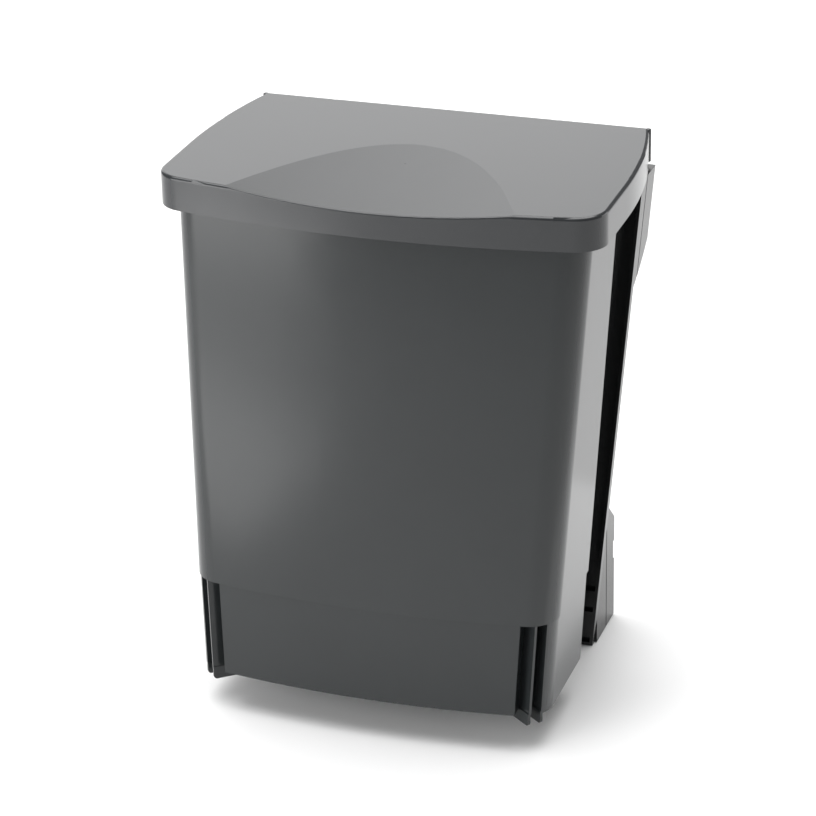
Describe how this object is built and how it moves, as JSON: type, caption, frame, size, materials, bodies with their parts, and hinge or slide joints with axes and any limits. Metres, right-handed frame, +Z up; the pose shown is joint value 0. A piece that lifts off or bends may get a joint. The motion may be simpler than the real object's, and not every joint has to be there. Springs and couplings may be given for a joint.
{
  "type": "cupboard door waste bin",
  "caption": "Waste bin for the inside of a cupboard door: a hinged lid over a tapered bow-front bucket that lifts off a screwed-on door frame.",
  "frame": {"origin": "middle of the bounding box's base: on the bin's middle plane, level with the underside of the lower spacer", "axes": "+X to the right as seen from the front, +Y towards the door that carries the bin, +Z up"},
  "size_m": [0.29, 0.2046, 0.357],
  "materials": {
    "lid_plastic": "injection moulded, satin, semi-gloss",
    "bucket_plastic": "injection moulded, semi-gloss skin",
    "frame_plastic": "injection moulded, satin",
    "zinc_steel": "bright zinc plated",
    "rubber": "soft moulded, dull",
    "nylon": "natural nylon, satin"
  },
  "bodies": {
    "door_frame": {"back_plate": "frame_plastic", "upper_bracket": "frame_plastic", "lower_spacer": "frame_plastic", "hinge_rod": "zinc_steel", "rod_plug_right": "frame_plastic", "rod_plug_left": "frame_plastic", "hinge_bush_right": "nylon", "hinge_bush_left": "nylon", "hanger_rail": "zinc_steel", "rail_rivets": "zinc_steel", "plate_screws_upper": "zinc_steel", "plate_screws_lower": "zinc_steel", "door_sleeves_upper": "zinc_steel", "door_sleeves_lower": "zinc_steel", "lid_pad_right": "rubber", "lid_pad_left": "rubber", "bucket_buffer_right": "rubber", "bucket_buffer_left": "rubber"},
    "lid": {"lid_cover": "lid_plastic"},
    "bucket": {"bucket_shell": "bucket_plastic", "bucket_hook_right": "zinc_steel", "bucket_hook_left": "zinc_steel", "hook_rivets_right": "zinc_steel", "hook_rivets_left": "zinc_steel"}
  },
  "joints": [
    {"name": "lid_hinge", "type": "hinge", "parent": "door_frame", "child": "lid", "pos_m": [0, 0.0928, 0.35], "axis": [-1, 0, 0], "range_deg": [0, 85]},
    {"name": "bucket_lift", "type": "slide", "parent": "door_frame", "child": "bucket", "axis": [0, 0, 1], "range_m": [0, 0.007]}
  ]
}
